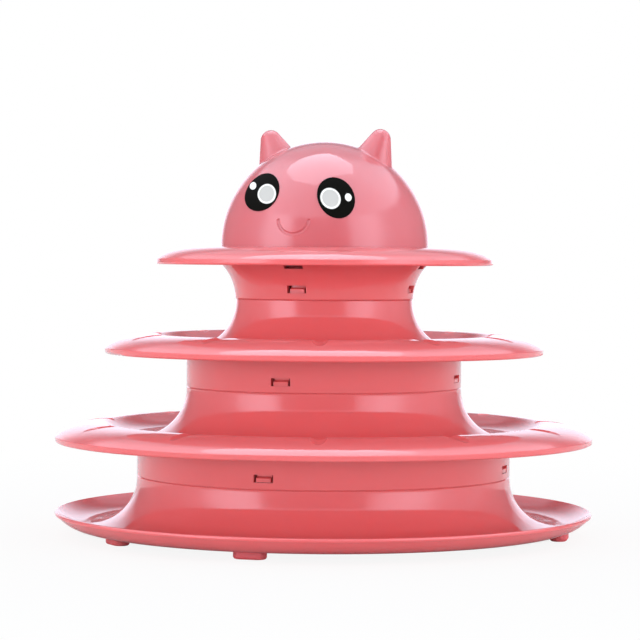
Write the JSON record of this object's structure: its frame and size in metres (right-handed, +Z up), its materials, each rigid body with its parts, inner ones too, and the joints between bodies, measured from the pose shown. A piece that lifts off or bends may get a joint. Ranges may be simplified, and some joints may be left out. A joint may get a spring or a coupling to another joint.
{
  "type": "cat ball track toy",
  "caption": "Stacked round tower of ball channels under wide canopies, topped by a domed cat's head; balls roll round the channels for a cat to bat.",
  "frame": {"origin": "on the floor under the tower's axis", "axes": "+Z up along the tower, the cat's face towards -Y"},
  "size_m": [0.25, 0.2509, 0.1892],
  "materials": {
    "pink_plastic": "glossy injection-moulded polypropylene, coral pink",
    "eye_print": "printed sticker: black oval with a white-ringed grey disc and a white glint",
    "foot_rubber": "soft pink non-slip pad",
    "ball_plastic": "smooth light plastic ball",
    "bead_steel": "plain steel rattle bead"
  },
  "bodies": {
    "tower": {"base_tray": "pink_plastic", "lower_tier": "pink_plastic", "upper_tier": "pink_plastic", "top_brim": "pink_plastic", "head_shell": "pink_plastic", "left_eye_decal": "eye_print", "right_eye_decal": "eye_print", "front_foot_pad": "foot_rubber", "right_foot_pad": "foot_rubber", "rear_foot_pad": "foot_rubber", "left_foot_pad": "foot_rubber"},
    "lower_ball_place": {"lower_ball_bead": "bead_steel"},
    "lower_ball": {"lower_ball_outer_half": "ball_plastic", "lower_ball_inner_half": "ball_plastic"},
    "middle_ball_place": {"middle_ball_bead": "bead_steel"},
    "middle_ball": {"middle_ball_outer_half": "ball_plastic", "middle_ball_inner_half": "ball_plastic"},
    "top_ball_place": {"top_ball_bead": "bead_steel"},
    "top_ball": {"top_ball_outer_half": "ball_plastic", "top_ball_inner_half": "ball_plastic"}
  },
  "joints": [
    {"name": "lower_ball_run", "type": "hinge", "parent": "tower", "child": "lower_ball_place", "pos_m": [0, 0, 0.0232], "axis": [0, 0, 1], "continuous": true},
    {"name": "lower_ball_roll", "type": "hinge", "parent": "lower_ball_place", "child": "lower_ball", "pos_m": [0, 0.1086, 0.0232], "axis": [0, 1, 0], "continuous": true},
    {"name": "middle_ball_run", "type": "hinge", "parent": "tower", "child": "middle_ball_place", "pos_m": [0, 0, 0.0642], "axis": [0, 0, 1], "continuous": true},
    {"name": "middle_ball_roll", "type": "hinge", "parent": "middle_ball_place", "child": "middle_ball", "pos_m": [0, 0.0857, 0.0642], "axis": [0, 1, 0], "continuous": true},
    {"name": "top_ball_run", "type": "hinge", "parent": "tower", "child": "top_ball_place", "pos_m": [0, 0, 0.1052], "axis": [0, 0, 1], "continuous": true},
    {"name": "top_ball_roll", "type": "hinge", "parent": "top_ball_place", "child": "top_ball", "pos_m": [0, 0.0628, 0.1052], "axis": [0, 1, 0], "continuous": true}
  ],
  "couplings": [
    {"joint": "lower_ball_roll", "follows": "lower_ball_run", "ratio": -6.2775},
    {"joint": "middle_ball_roll", "follows": "middle_ball_run", "ratio": -4.9538},
    {"joint": "top_ball_roll", "follows": "top_ball_run", "ratio": -3.6301}
  ]
}
